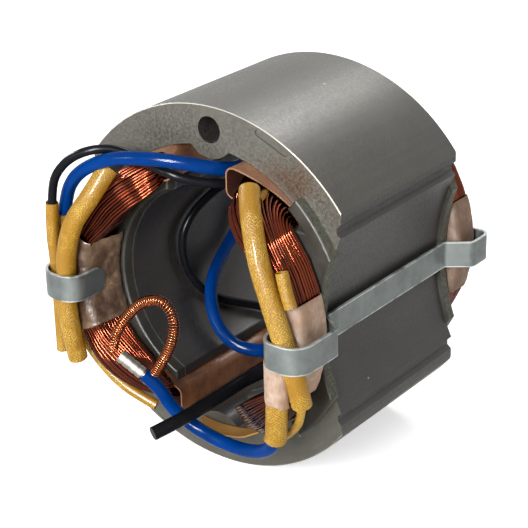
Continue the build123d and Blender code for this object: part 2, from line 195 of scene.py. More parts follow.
def newMaterial(name, base, roughness, metallic=0.0, coat=0.0, coatRoughness=0.1, specular=0.5):
    material = bpy.data.materials.new(name)
    material.use_nodes = True
    tree = material.node_tree
    shader = tree.nodes["Principled BSDF"]
    shader.inputs["Base Color"].default_value = base
    shader.inputs["Roughness"].default_value = roughness
    shader.inputs["Metallic"].default_value = metallic
    shader.inputs["Coat Weight"].default_value = coat
    shader.inputs["Coat Roughness"].default_value = coatRoughness
    shader.inputs["Specular IOR Level"].default_value = specular
    return material, tree, shader


def placeFloor(look):
    half = look["halfWidth"]
    level = cadBox[0].z - look["drop"]
    corners = [(-half, -half, level), (half, -half, level), (half, half, level), (-half, half, level)]
    grey = look["grey"]
    material, tree, shader = newMaterial("floorCard", (grey, grey, grey, 1), look["roughness"])
    # the camera sees the card nearly white, with the object's shadow kept
    path = addNode(tree, "ShaderNodeLightPath")
    strength = times(tree, path.outputs["Is Camera Ray"], look["glow"])
    glow = made(tree, "ShaderNodeEmission", {"Color": (1, 1, 1, 1), "Strength": strength})
    both = made(tree, "ShaderNodeAddShader", {0: shader.outputs[0], 1: glow})
    tree.links.new(both, tree.nodes["Material Output"].inputs["Surface"])
    newPiece("floor", corners, [(0, 1, 2, 3)], material)


def lightWorld(look):
    world = bpy.data.worlds.new("studio")
    scene.world = world
    world.use_nodes = True
    tree = world.node_tree
    tree.nodes.clear()
    # white where it is seen, also in gloss and through glass, and dim where it lights the object
    path = addNode(tree, "ShaderNodeLightPath")
    seen = calc(tree, "MAXIMUM", path.outputs["Is Camera Ray"], path.outputs["Is Transmission Ray"])
    seen = calc(tree, "MAXIMUM", seen, path.outputs["Is Glossy Ray"])
    ambient = made(tree, "ShaderNodeBackground", {"Color": (1, 1, 1, 1), "Strength": look["ambient"]})
    white = made(tree, "ShaderNodeBackground", {"Color": (1, 1, 1, 1), "Strength": look["white"]})
    mixed = made(tree, "ShaderNodeMixShader", {0: seen, 1: ambient, 2: white})
    output = addNode(tree, "ShaderNodeOutputWorld")
    tree.links.new(mixed, output.inputs["Surface"])


placeCamera(photoView)
placeLamps()
placeFloor({"halfWidth": 3.0, "drop": 0.0001, "grey": 0.82, "roughness": 0.9, "glow": 0.6})
lightWorld({"ambient": 0.2, "white": 1.0})
print("camera, lamps, floor and world are in place")


# Shared shader effects, built once and placed in the materials

def addSockets(tree, side, sockets):
    # a number gives a socket's kind and its start value, a word its kind alone
    kinds = {float: "Float", int: "Int"}
    for name, value in sockets.items():
        kind = value if isinstance(value, str) else kinds[type(value)]
        socket = tree.interface.new_socket(name=name, in_out=side, socket_type="NodeSocket" + kind)
        if kind != value:
            socket.default_value = value


def newGroup(treeKind, name, inputs, outputs):
    tree = bpy.data.node_groups.new(name, treeKind)
    addSockets(tree, "INPUT", inputs)
    addSockets(tree, "OUTPUT", outputs)
    return tree, tree.nodes.new("NodeGroupInput").outputs, tree.nodes.new("NodeGroupOutput").inputs


def makeGrainGroup():
    # soft mottling, its contrast set by Amount around one half
    tree, given, result = newGroup(
        "ShaderNodeTree", "grain", {"Position": "Vector", "Scale": 200.0, "Amount": 0.5}, {"Tone": "Float"})
    inputs = {"Vector": given["Position"], "Scale": given["Scale"], "Detail": 5.0, "Roughness": 0.6}
    cloud = made(tree, "ShaderNodeTexNoise", inputs)
    spread = times(tree, calc(tree, "SUBTRACT", cloud, 0.5), given["Amount"])
    tree.links.new(calc(tree, "ADD", spread, 0.5), result["Tone"])
    return tree


def makeSpeckGroup():
    # scattered small round marks
    tree, given, result = newGroup(
        "ShaderNodeTree", "specks",
        {"Position": "Vector", "Scale": 300.0, "Size": 0.1, "Share": 0.3}, {"Mask": "Float"})
    inputs = {"Vector": given["Position"], "Scale": given["Scale"]}
    cells = addNode(tree, "ShaderNodeTexVoronoi", inputs).outputs
    chance = addNode(tree, "ShaderNodeSeparateColor", {0: cells["Color"]}).outputs
    dot = calc(tree, "LESS_THAN", cells["Distance"], times(tree, given["Size"], chance[1]))
    kept = calc(tree, "LESS_THAN", chance[0], given["Share"])
    tree.links.new(times(tree, dot, kept), result["Mask"])
    return tree


def makeBraidGroup():
    # crossed yarns round a tube, from the angle round it and the distance along it
    tree, given, result = newGroup(
        "ShaderNodeTree", "braid",
        {"Circle": "Vector", "Yarns": 14.0, "Pitch": 0.0009, "Warp": 0.0}, {"Height": "Float"})
    place = split(tree, given["Circle"])
    angle = calc(tree, "ARCTAN2", place[1], place[0])
    around = calc(tree, "ADD", times(tree, angle, given["Yarns"]), given["Warp"])
    along = times(tree, calc(tree, "DIVIDE", place[2], given["Pitch"]), fullTurn)
    along = calc(tree, "ADD", along, given["Warp"])
    crossed = times(tree, calc(tree, "SINE", around), calc(tree, "SINE", along))
    tree.links.new(calc(tree, "ADD", times(tree, crossed, 0.5), 0.5), result["Height"])
    return tree


grainGroup = makeGrainGroup()
speckGroup = makeSpeckGroup()
braidGroup = makeBraidGroup()


def useGroup(tree, group, inputs):
    return made(tree, "ShaderNodeGroup", inputs, node_tree=group)


def grain(tree, position, scale, amount):
    return useGroup(tree, grainGroup, {"Position": position, "Scale": scale, "Amount": amount})


def specks(tree, position, scale, size, share):
    return useGroup(tree, speckGroup, {"Position": position, "Scale": scale, "Size": size, "Share": share})


def placeOf(tree):
    return tree.nodes.new("ShaderNodeTexCoord").outputs["Object"]


def facingOf(tree):
    return split(tree, addNode(tree, "ShaderNodeNewGeometry").outputs["True Normal"])


def stretched(tree, position, x, y, z):
    return vectorCalc(tree, "MULTIPLY", position, (x, y, z))


def shaded(tree, tint, shade):
    # a colour made darker or lighter by a plain value
    grey = made(tree, "ShaderNodeCombineColor", {0: shade, 1: shade, 2: shade})
    return blendColour(tree, 1.0, tint, grey, "MULTIPLY")


def bumpFrom(tree, shader, height, strength, depth):
    bump = made(tree, "ShaderNodeBump", {"Height": height, "Strength": strength, "Distance": depth})
    feed(tree, bump, shader, "Normal")


def feed(tree, value, shader, name):
    tree.links.new(value, shader.inputs[name])


def dressNodes(material, *starts):
    for name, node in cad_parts.items():
        if name.startswith(starts):
            node.data.materials.clear()
            node.data.materials.append(material)


# Shared geometry: trees that grow a mesh along a curve, and the curves themselves

def newTree(name, inputs):
    return newGroup("GeometryNodeTree", name, {"Geometry": "Geometry", **inputs}, {"Geometry": "Geometry"})


def closeTree(tree, geometry, given, result):
    smoothed = made(tree, "GeometryNodeSetShadeSmooth", {"Geometry": geometry})
    real = made(tree, "GeometryNodeRealizeInstances", {"Geometry": smoothed})
    coated = made(tree, "GeometryNodeSetMaterial", {"Geometry": real, "Material": given["Material"]})
    tree.links.new(coated, result["Geometry"])


def storeField(tree, geometry, name, value, kind="FLOAT", domain="POINT"):
    inputs = {"Geometry": geometry, "Name": name, "Value": value}
    return made(tree, "GeometryNodeStoreNamedAttribute", inputs, data_type=kind, domain=domain)


def readField(tree, name, kind="FLOAT"):
    node = addNode(tree, "GeometryNodeInputNamedAttribute", {"Name": name}, data_type=kind)
    return pickSocket(node.outputs, "Attribute")


def scaled(tree, vector, amount):
    node = addNode(tree, "ShaderNodeVectorMath", {0: vector, "Scale": amount}, operation="SCALE")
    return node.outputs["Vector"]


def moved(tree, geometry, offset):
    return made(tree, "GeometryNodeSetPosition", {"Geometry": geometry, "Offset": offset})


def unevenly(tree, place, scale, reach):
    # an offset that drifts softly from place to place
    cloud = addNode(tree, "ShaderNodeTexNoise", {"Vector": place, "Scale": scale, "Detail": 1.0})
    return scaled(tree, vectorCalc(tree, "SUBTRACT", cloud.outputs["Color"], (0.5, 0.5, 0.5)), reach)


def ring(tree, sides, radius):
    inputs = {"Resolution": sides, "Radius": radius}
    return made(tree, "GeometryNodeCurvePrimitiveCircle", inputs)


def sweep(tree, curve, profile, caps=False):
    inputs = {"Curve": curve, "Profile Curve": profile, "Fill Caps": caps}
    return made(tree, "GeometryNodeCurveToMesh", inputs)


def growPiece(name, source, tree, values):
    # runs a tree on its source and keeps only the plain mesh that it makes
    modifier = source.modifiers.new("grow", "NODES")
    modifier.node_group = tree
    for item in tree.interface.items_tree:
        if item.item_type == "SOCKET" and item.in_out == "INPUT" and item.name in values:
            modifier[item.identifier] = values[item.name]
    depsgraph = bpy.context.evaluated_depsgraph_get()
    mesh = bpy.data.meshes.new_from_object(source.evaluated_get(depsgraph), depsgraph=depsgraph)
    mesh.name = name
    bpy.data.objects.remove(source)
    return placeObject(name, mesh)


def settle(piece, nodes):
    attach(piece, "root")
    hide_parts(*nodes)
    return piece


def addSpline(data, kind, points):
    spline = data.splines.new(kind)
    spline.points.add(len(points) - 1)
    for point, place in zip(spline.points, points):
        point.co = (*place, 1)
    return spline


def newCurve(name):
    data = bpy.data.curves.new(name, "CURVE")
    data.dimensions = "3D"
    return placeObject(name, data), data


def routeCurve(name, points, radius=0.0):
    # one smooth line through a route's points, a round cord where it has a radius
    piece, data = newCurve(name)
    spline = addSpline(data, "NURBS", points)
    spline.order_u = 3
    spline.use_endpoint_u = True
    data.resolution_u = 10
    data.bevel_depth = radius
    data.bevel_resolution = 5
    data.use_fill_caps = True
    return piece


def smooth(value, start, end):
    share = min(max((value - start) / (end - start), 0.0), 1.0)
    return share * share * (3 - 2 * share)


def roundedLoop(low, high, bottom, top, lowBend, highBend, arcSteps, lineSteps):
    # points and normals round a rectangle with round corners, of one bend at its low side, one at its high
    corners = [
        (low + lowBend, top - lowBend, lowBend, 90),
        (low + lowBend, bottom + lowBend, lowBend, 180),
        (high - highBend, bottom + highBend, highBend, 270),
        (high - highBend, top - highBend, highBend, 0),
    ]
    loop = []
    for index, (centreX, centreY, bend, start) in enumerate(corners):
        for step in range(arcSteps + 1):
            angle = math.radians(start + 90 * (step / arcSteps))
            normal = (math.cos(angle), math.sin(angle))
            loop.append((centreX + bend * normal[0], centreY + bend * normal[1], *normal))
        nextX, nextY, nextBend, nextStart = corners[(index + 1) % 4]
        angle = math.radians(nextStart)
        goal = (nextX + nextBend * math.cos(angle), nextY + nextBend * math.sin(angle))
        last = loop[-1]
        for step in range(1, lineSteps):
            x, y = (blendValue(here, there, step / lineSteps) for here, there in zip(last, goal))
            loop.append((x, y, *last[2:]))
    return loop


# Core: bonded steel laminations

coreLook = {
    "rim": colour(65, 63, 56),
    "face": colour(82, 80, 71),
    "hollowShade": colour(51, 49, 45),
    "bore": colour(44, 40, 37),
    "pit": colour(60, 58, 54),
    # one pale colour for the dust and flecks, and for the painted highlight along the rim's front edge
    "dustAndEdgeHighlight": colour(150, 147, 136),
    "rimRadius": 0.0393,
    "boreRadius": 0.0252,
    "faceRadius": 0.0256,
    "lamination": 0.0005,
    "stain": colour(80, 60, 44),
    "stainCentre": (0.0195, 0.0285),
    "stainReach": (0.0085, 0.002),
    "arc": colour(48, 47, 43),
    "arcCentre": (0.01024, 0.0359),
    "arcRadius": 0.00414,
    "arcWidth": 0.00007,
}


def coreMaterial(look):
    material, tree, shader = newMaterial(
        "core_steel_look", look["rim"], 0.42, metallic=0.35, coat=0.15, coatRoughness=0.3)
    position = placeOf(tree)
    place = split(tree, position)
    flat = vectorCalc(tree, "MULTIPLY", position, (1, 0, 1))
    radius = vectorCalc(tree, "LENGTH", flat)
    onFace = calc(tree, "GREATER_THAN", calc(tree, "ABSOLUTE", facingOf(tree)[1]), 0.8)
    onRim = fade(tree, radius, look["rimRadius"], look["rimRadius"] + 0.0002)
    inBore = fade(tree, radius, look["boreRadius"], look["boreRadius"] - 0.0003)
    mottle = grain(tree, position, 90.0, 1.6)
    # painted shade: the recessed flat sides are painted darker than the round rim
    sides = blendColour(tree, onRim, look["hollowShade"], look["rim"])
    # the bore is painted dark, partly for its own darker finish and partly as painted shade
    sides = blendColour(tree, inBore, sides, look["bore"])
    # painted shade: the end face takes the bore's dark colour in a narrow ring at the bore's edge
    aroundBore = fade(tree, radius, look["faceRadius"], look["faceRadius"] + 0.001)
    tint = blendColour(tree, onFace, sides, blendColour(tree, aroundBore, look["bore"], look["face"]))
    # faint draw marks along the axis, on the outside only
    marks = grain(tree, stretched(tree, position, 1.0, 0.03, 1.0), 800.0, 2.4)
    marks = fade(tree, marks, 0.0, 1.0, 0.9, 1.08)
    shade = times(tree, fade(tree, mottle, 0.0, 1.0, 0.82, 1.12), calc(tree, "MAXIMUM", marks, onFace))
    pits = specks(tree, position, 420.0, 0.16, 0.06)
    tint = blendColour(tree, pits, shaded(tree, tint, shade), look["pit"])
    # varnish that ran from the slot papers over the end face
    stainX, stainZ = look["stainCentre"]
    toStain = vectorCalc(tree, "DISTANCE", flat, (stainX, 0, stainZ))
    stained = times(tree, fade(tree, toStain, *look["stainReach"]), fade(tree, mottle, 0.2, 0.8), onFace)
    tint = blendColour(tree, stained, tint, look["stain"])
    # dust in patches on the end faces, and flecks everywhere
    dust = times(tree, specks(tree, position, 760.0, 0.2, 0.03), onFace, fade(tree, mottle, 0.4, 0.7), 0.7)
    tint = blendColour(tree, dust, tint, look["dustAndEdgeHighlight"])
    flecks = times(tree, specks(tree, position, 330.0, 0.13, 0.035), 0.7)
    tint = blendColour(tree, flecks, tint, look["dustAndEdgeHighlight"])
    # the thin arc that a punch left on the end face
    arcX, arcZ = look["arcCentre"]
    offArc = calc(tree, "SUBTRACT", vectorCalc(tree, "DISTANCE", flat, (arcX, 0, arcZ)), look["arcRadius"])
    onArc = fade(tree, calc(tree, "ABSOLUTE", offArc), 1.6 * look["arcWidth"], 0.4 * look["arcWidth"])
    onArc = times(tree, onArc, calc(tree, "LESS_THAN", place[0], arcX + 0.0005), onFace)
    tint = blendColour(tree, times(tree, onArc, 0.6), tint, look["arc"])
    # painted highlight: a pale line painted along the front edge of the rim, where the burr of the end
    # lamination catches the light
    nearFront = times(tree, fade(tree, place[1], 0.0002, 0.0001), fade(tree, mottle, 0.1, 0.6, 0.3, 1.0))
    burrHighlight = times(tree, nearFront, onRim, calc(tree, "SUBTRACT", 1.0, onFace))
    feed(tree, blendColour(tree, burrHighlight, tint, look["dustAndEdgeHighlight"]), shader, "Base Color")
    # the edges of the laminations, broken into short dashes and hardly to be felt in the bore
    sheet = calc(tree, "SINE", times(tree, place[1], fullTurn / look["lamination"]))
    dashes = grain(tree, stretched(tree, position, 1.0, 2.2, 1.0), 1500.0, 2.0)
    worn = fade(tree, inBore, 0.0, 1.0, 1.0, 0.15)
    sideHeight = times(tree, calc(tree, "ADD", times(tree, sheet, 0.35), dashes), worn)
    heights = {0: onFace, 2: sideHeight, 3: times(tree, mottle, 0.12)}
    height = made(tree, "ShaderNodeMix", heights, data_type="FLOAT")
    height = calc(tree, "SUBTRACT", height, times(tree, calc(tree, "MAXIMUM", pits, onArc), 0.5))
    bumpFrom(tree, shader, height, 0.3, 0.00006)
    rough = calc(tree, "MAXIMUM", fade(tree, dashes, 0.2, 0.8, 0.34, 0.56), times(tree, burrHighlight, 0.8))
    feed(tree, rough, shader, "Roughness")
    return material


dressNodes(coreMaterial(coreLook), "stator_core")


# End insulators

insulatorLook = {
    "front": (colour(41, 38, 31), colour(50, 47, 39)),
    "edge": (colour(56, 57, 45), colour(84, 84, 70)),
    "boreEdge": 0.0262,
}


def insulatorMaterial(look):
    material, tree, shader = newMaterial("insulator_look", look["front"][1], 0.5, specular=0.28)
    position = placeOf(tree)
    radius = vectorCalc(tree, "LENGTH", vectorCalc(tree, "MULTIPLY", position, (1, 0, 1)))
    onEdge = calc(tree, "LESS_THAN", calc(tree, "ABSOLUTE", facingOf(tree)[1]), 0.5)
    onEdge = times(tree, onEdge, calc(tree, "GREATER_THAN", radius, look["boreEdge"]))
    fine = grain(tree, position, 1400.0, 2.4)
    cloud = grain(tree, position, 120.0, 1.5)
    edge = blendColour(tree, fade(tree, fine, 0.2, 0.8), *look["edge"])
    # painted shade, in part: the front face is darker than the edges for the shade under the coil's overhang
    # as well as for its smoother finish
    front = blendColour(tree, cloud, *look["front"])
    feed(tree, blendColour(tree, onEdge, front, edge), shader, "Base Color")
    height = times(tree, fine, fade(tree, onEdge, 0.0, 1.0, 0.15, 1.0))
    bumpFrom(tree, shader, height, 0.6, 0.0001)
    feed(tree, fade(tree, cloud, 0.2, 0.8, 0.42, 0.6), shader, "Roughness")
    return material


dressNodes(insulatorMaterial(insulatorLook), "end_insulator")


# Slot papers

def paperMaterial(name, pale, deep, roughness, creases, fibre=0.25, coat=0.0):
    material, tree, shader = newMaterial(name, pale, roughness, coat=coat, coatRoughness=0.25, specular=0.35)
    position = placeOf(tree)
    cloud = grain(tree, position, 160.0, 2.2)
    hairs = grain(tree, stretched(tree, position, 1.0, 1.0, 0.25), 1700.0, 2.0)
    tint = blendColour(tree, fade(tree, cloud, 0.15, 0.85), pale, deep)
    tint = shaded(tree, tint, fade(tree, hairs, 0.1, 0.9, 0.86, 1.08))
    feed(tree, tint, shader, "Base Color")
    folds = grain(tree, stretched(tree, position, 1.6, 1.0, 0.5), 330.0, creases)
    bumpFrom(tree, shader, calc(tree, "ADD", times(tree, hairs, fibre), folds), 0.7, 0.00025)
    return material, tree, shader, tint


linerLook = {
    "outside": {
        "pale": colour(150, 98, 62), "deep": colour(112, 70, 44),
        "roughness": 0.45, "creases": 0.6, "fibre": 0.2, "coat": 0.2,
    },
    "inside": colour(74, 34, 21),
    "edge": colour(138, 94, 57),
    "flap": colour(180, 132, 56),
    "flapFrom": (-0.005, -0.0006, -0.0285),
    "slotCentre": (0.0158, 0.024),
}


def linerMaterial(look):
    # tan outside, red-brown inside, the cut edges pale and the loose flap yellow
    material, tree, shader, tint = paperMaterial("slot_paper_look", **look["outside"])
    place = split(tree, placeOf(tree))
    facing = facingOf(tree)
    outward = 0.0
    for axis, centre in zip((0, 2), look["slotCentre"]):
        offset = calc(tree, "SUBTRACT", calc(tree, "ABSOLUTE", place[axis]), centre)
        toward = times(tree, calc(tree, "SIGN", place[axis]), facing[axis])
        outward = calc(tree, "ADD", outward, times(tree, offset, toward))
    tint = blendColour(tree, calc(tree, "LESS_THAN", outward, 0.0), tint, look["inside"])
    onEdge = calc(tree, "GREATER_THAN", calc(tree, "ABSOLUTE", facing[1]), 0.7)
    tint = blendColour(tree, onEdge, tint, look["edge"])
    tests = zip(("GREATER_THAN", "LESS_THAN", "LESS_THAN"), place, look["flapFrom"])
    loose = times(tree, *[calc(tree, test, value, limit) for test, value, limit in tests])
    feed(tree, blendColour(tree, loose, tint, look["flap"]), shader, "Base Color")
    return material


dressNodes(linerMaterial(linerLook), "slot_liner")


# Paper collars of the end turns: a folded strip round each coil, wrinkled by its wrapping

collarPapers = {
    "paper": {"pale": colour(192, 166, 144), "deep": colour(160, 126, 102), "roughness": 0.6, "creases": 0.9},
    # painted shade: the rear collars take a darker copy of the front collar's paper
    "rearShadedPaper": {"pale": colour(142, 116, 96), "deep": colour(112, 84, 64), "roughness": 0.6, "creases": 0.9},
    "film": {
        "pale": colour(130, 104, 80), "deep": colour(78, 55, 38),
        "roughness": 0.42, "creases": 2.0, "fibre": 0.15, "coat": 0.2,
    },
}
plainCollar = {"tilt": 0.0, "slack": 0.0, "wrinkle": 0.00018, "apron": False, "paper": "rearShadedPaper"}
collars = {
    "coil_wrap_front_right": {
        "side": 1, "start": 16.0, "end": -24.0, "front": -0.01205, "rear": -0.003,
        "wrinkle": 0.00016, "grain": 330.0, "seed": 3, "apron": True, "paper": "paper",
    },
    "coil_wrap_front_left": {
        "side": -1, "start": 20.0, "tilt": 3.5, "end": -23.6, "front": -0.01205, "rear": -0.0027,
        "wrinkle": 0.0003, "slack": 0.0019, "grain": 420.0, "seed": 8, "paper": "film",
    },
    "coil_wrap_rear_right": {
        "side": 1, "start": 20.0, "end": -20.0, "front": 0.045, "rear": 0.05255,
        "grain": 360.0, "seed": 5,
    },
    "coil_wrap_rear_left": {
        "side": -1, "start": 19.0, "end": -21.0, "front": 0.045, "rear": 0.05255,
        "grain": 360.0, "seed": 9,
    },
}
collarShape = {"bore": 0.02525, "yoke": 0.03115, "bend": 0.0016, "thick": 0.0001, "steps": 64}
apron = {
    "top": (0.0265, -0.0143, -0.0026), "bottom": (0.0269, -0.01475, -0.0113),
    "radius": 0.00246, "from": -84.0, "to": 108.0, "rows": 22, "columns": 24,
    "ragged": 0.0003, "slant": 0.0019, "wrinkle": 0.00006,
}


def foldHeight(place, look):
    # sharp creases: the folds of a few tilted, randomly placed waves
    total = 0.0
    rng = random.Random(look["seed"])
    for count in range(5):
        direction = Vector((rng.uniform(-1, 1), rng.uniform(-1, 1), rng.uniform(-1, 1))).normalized()
        bent = place + 0.0012 * noise.noise_vector(place * look["grain"])
        phase = bent.dot(direction) * rng.uniform(500, 1100) + rng.uniform(0, fullTurn)
        total += abs(math.sin(phase)) ** 0.6 - 0.6
    return total / 2


def collarSheet(look, shape):
    # an outer and an inner skin, joined along the strip's two ends, with the same creases in every run
    noise.seed_set(look["seed"])
    bend = shape["bend"]
    section = roundedLoop(shape["bore"], shape["yoke"], look["front"], look["rear"], bend, bend, 6, 14)
    steps = shape["steps"]
    points = []
    for layer in (0, 1):
        for step in range(steps + 1):
            level = step / steps
            for radius, y, normalR, normalY in section:
                back = smooth(y, look["front"], look["rear"])
                lean = look["tilt"] * back * (1 - level)
                angle = math.radians(blendValue(look["start"], look["end"], level) + lean)
                place = Vector((radius * math.cos(angle), y, radius * math.sin(angle)))
                lift = look["wrinkle"] * max(foldHeight(place, look), -0.3) - layer * shape["thick"]
                lift += look["slack"] * max(-normalR, 0.0) * back
                r = radius + normalR * lift
                points.append((look["side"] * r * math.cos(angle), y + normalY * lift, r * math.sin(angle)))
    count = len(section)
    layerSize = (steps + 1) * count
    faces = []
    # rows of faces along both skins, then the two rows that join them at the strip's ends
    rows = [(skin + step * count, count, skin == 0) for skin in (0, layerSize) for step in range(steps)]
    rows += [(step * count, layerSize, step > 0) for step in (0, steps)]
    for first, reach, outward in rows:
        for index in range(count):
            a = first + index
            b = first + (index + 1) % count
            face = (a, b, b + reach, a + reach)
            faces.append(face if outward == (look["side"] > 0) else face[::-1])
    return points, faces


def apronSheet(look, thick, first):
    # the paper's loose end, hanging in front of the brush lead's sleeve
    rows, columns = look["rows"], look["columns"]
    points = []
    for layer in (0, 1):
        for row in range(rows + 1):
            down = row / rows
            x, y, z = (blendValue(top, bottom, down) for top, bottom in zip(look["top"], look["bottom"]))
            for column in range(columns + 1):
                across = column / columns
                turn = math.radians(blendValue(look["from"], look["to"], across))
                edge = look["ragged"] * noise.noise(Vector((1.3 * turn, 0.0, 0.0)))
                edge += look["slant"] * (0.5 - across)
                wave = noise.noise(Vector((2 * turn, 0.0, 500 * z)))
                reach = look["radius"] + look["wrinkle"] * wave - layer * thick
                points.append((x + reach * math.sin(turn), y - reach * math.cos(turn), z + edge * down))
    width = columns + 1
    layerSize = (rows + 1) * width
    faces = []
    for row in range(rows):
        for column in range(columns):
            a = first + row * width + column
            face = (a, a + width, a + width + 1, a + 1)
            faces.append(face)
            faces.append(tuple(corner + layerSize for corner in face[::-1]))
    rim = list(range(width))
    rim += [row * width + columns for row in range(1, rows + 1)]
    rim += [rows * width + column for column in range(columns - 1, -1, -1)]
    rim += [row * width for row in range(rows - 1, 0, -1)]
    for here, there in zip(rim, rim[1:] + rim[:1]):
        faces.append((first + here, first + there, first + there + layerSize, first + here + layerSize))
    return points, faces


def makeCollar(name, look, shape, materials):
    points, faces = collarSheet(look, shape)
    if look["apron"]:
        morePoints, moreFaces = apronSheet(apron, shape["thick"], len(points))
        points += morePoints
        faces += moreFaces
    piece = newPiece(name + "_paper", points, faces, materials[look["paper"]])
    piece.data.shade_smooth()
    settle(piece, [name])


collarMaterials = {
    kind: paperMaterial("wrap_" + kind + "_look", **values)[0] for kind, values in collarPapers.items()
}
for name, look in collars.items():
    makeCollar(name, {**plainCollar, **look}, collarShape, collarMaterials)
print("core and insulators are finished, paper collars are folded")


# Straps

strapLook = {
    "base": colour(94, 99, 97),
    "pale": colour(118, 124, 121),
    "dull": colour(84, 88, 86),
    # the pale colour of the painted highlight along the sheared edges
    "edge": colour(190, 195, 192),
    "halfWidth": 0.0029,
    "drop": 0.0004,
}


def strapMaterial(look):
    material, tree, shader = newMaterial("strap_metal_look", look["base"], 0.34, metallic=0.6, coat=0.1)
    position = placeOf(tree)
    cloud = grain(tree, position, 220.0, 1.2)
    marks = specks(tree, position, 900.0, 0.3, 0.07)
    tint = blendColour(tree, fade(tree, cloud, 0.2, 0.8), look["base"], look["pale"])
    tint = blendColour(tree, times(tree, marks, 0.7), tint, look["dull"])
    # painted highlight: the sheared edges are painted brighter, for the light their rounded edges catch
    offMiddle = calc(tree, "ABSOLUTE", calc(tree, "ADD", split(tree, position)[2], look["drop"]))
    shearedEdgeHighlight = fade(tree, offMiddle, look["halfWidth"] - 0.0003, look["halfWidth"] - 0.0001)
    tint = blendColour(tree, times(tree, shearedEdgeHighlight, fade(tree, cloud, 0.3, 0.6)), tint, look["edge"])
    feed(tree, tint, shader, "Base Color")
    fine = grain(tree, stretched(tree, position, 1.0, 0.3, 1.0), 1500.0, 1.0)
    feed(tree, fade(tree, fine, 0.2, 0.8, 0.3, 0.45), shader, "Roughness")
    bumpFrom(tree, shader, calc(tree, "SUBTRACT", fine, marks), 0.35, 0.00005)
    return material


dressNodes(strapMaterial(strapLook), "strap_")
print("straps are finished")


# Coils: every turn of wire is a tube of its own

coil = {
    "wire": 0.00070,
    "across": 11,
    "deep": 13,
    "boreRadius": 0.02592,
    "yokeRadius": 0.03046,
    "slotEdge": 0.00900,
    "spill": 0.0009,
    "bulge": 0.0029,
    "upperAngles": {1: (20.0, 46.0), -1: (15.0, 33.0)},
    "lowerAngles": (24.0, 42.0),
    "bulgeReach": (-0.0008, -0.0060, -0.0105),
    "collarAngles": (24.0, 30.0),
    "collarSqueeze": 0.00012,
    "innerHeight": 0.02060,
    "outerHeight": 0.02745,
    "innerFront": -0.00370,
    "outerFront": -0.01128,
    "innerRear": 0.04570,
    "outerRear": 0.05178,
    "innerCorner": 0.0009,
    "frontCorner": 0.0132,
    "yokeCorner": 0.0112,
    "rearCorner": 0.0112,
    "stagger": 0.25,
    "shuffle": 0.013,
    "slip": 0.004,
    "longer": 0.12,
    "higher": 0.1,
    "wander": 0.00006,
    "seed": 11,
    "arcSteps": 12,
    "lineSteps": 8,
}


def turnLoop(share, depth, radius, look):
    # one turn as it lies flat, in y and z: share runs from the inside of the loop to its outside
    top = min(look["outerHeight"], math.sqrt(radius**2 - look["slotEdge"] ** 2))
    squeeze = (top - look["innerHeight"]) / (look["outerHeight"] - look["innerHeight"])
    height = blendValue(look["innerHeight"], top, share)
    front = blendValue(look["innerFront"], look["outerFront"], share)
    rear = blendValue(look["innerRear"], look["outerRear"], share)
    tighter = blendValue(0.75, 1, squeeze)
    outerCorner = blendValue(look["frontCorner"], look["yokeCorner"], depth) * tighter
    frontCorner = blendValue(look["innerCorner"], outerCorner, share)
    rearCorner = blendValue(look["innerCorner"], look["rearCorner"] * tighter, share)
    steps = (look["arcSteps"], look["lineSteps"])
    return [point[:2] for point in roundedLoop(front, rear, -height, height, frontCorner, rearCorner, *steps)]


def turnPoints(share, depth, side, rng, look):
    # the flat turn bent round the bore; depth runs from the bore to the yoke
    phases = [rng.uniform(0, fullTurn) for count in range(4)]
    radius = blendValue(look["boreRadius"], look["yokeRadius"], depth)
    loop = turnLoop(share, depth, radius, look)
    middle = (look["innerFront"] + look["innerRear"]) / 2
    nearReach, *farReach = look["bulgeReach"]
    fullReach = blendValue(*farReach, share)
    between = 4 * share * (1 - share)
    points = []
    for count, (y, z) in enumerate(loop):
        # the wires spread towards the bore between the collar and the slot, and lie close in the collar
        angle = math.degrees(math.atan2(abs(z), math.sqrt(max(radius**2 - z**2, 0.0))))
        angles = look["upperAngles"][side] if z > 0 else look["lowerAngles"]
        pinch = smooth(angle, *angles) * smooth(y, nearReach, fullReach)
        tight = 1 - smooth(angle, *look["collarAngles"])
        loose = radius - look["bulge"] * pinch * (1 - depth) + look["collarSqueeze"] * tight * (1 - 2 * depth)
        # no turn lies quite where its neighbours do
        turn = fullTurn * count / len(loop)
        drift = look["shuffle"] * (math.sin(turn + phases[0]) + 0.6 * math.sin(3 * turn + phases[1]))
        slip = look["shuffle"] * (math.sin(2 * turn + phases[2]) + 0.6 * math.sin(3 * turn + phases[3]))
        nearest = look["boreRadius"] - look["bulge"] * pinch
        r = min(max(loose + slip * look["slip"], nearest), look["yokeRadius"])
        y = middle + (y - middle) * (1 + drift * look["longer"] * between)
        highest = math.sqrt(r**2 - (look["slotEdge"] - look["spill"] * pinch) ** 2)
        z = math.copysign(min(abs(z) * (1 + drift * look["higher"] * between), highest), z)
        points.append((side * math.sqrt(r**2 - z**2), y, z))
    return points


def windingTree():
    tree, given, result = newTree("windingTurns", {
        "Wire Diameter": 0.0008, "Wander": 0.0001, "Wander Scale": 160.0, "Seed": 1, "Sides": 8,
        "Material": "Material",
    })
    index = made(tree, "GeometryNodeInputIndex")
    chance = addNode(tree, "FunctionNodeRandomValue", {"Seed": given["Seed"], "ID": index}, data_type="FLOAT")
    chance = pickSocket(chance.outputs, "Value")
    named = storeField(tree, given["Geometry"], "turnTone", chance, domain="CURVE")
    place = made(tree, "GeometryNodeInputPosition")
    offset = made(tree, "ShaderNodeCombineXYZ", {0: readField(tree, "turnTone")})
    apart = vectorCalc(tree, "ADD", place, scaled(tree, offset, 5.0))
    wires = moved(tree, named, unevenly(tree, apart, given["Wander Scale"], given["Wander"]))
    wires = sweep(tree, wires, ring(tree, given["Sides"], times(tree, given["Wire Diameter"], 0.5)))
    closeTree(tree, wires, given, result)
    return tree


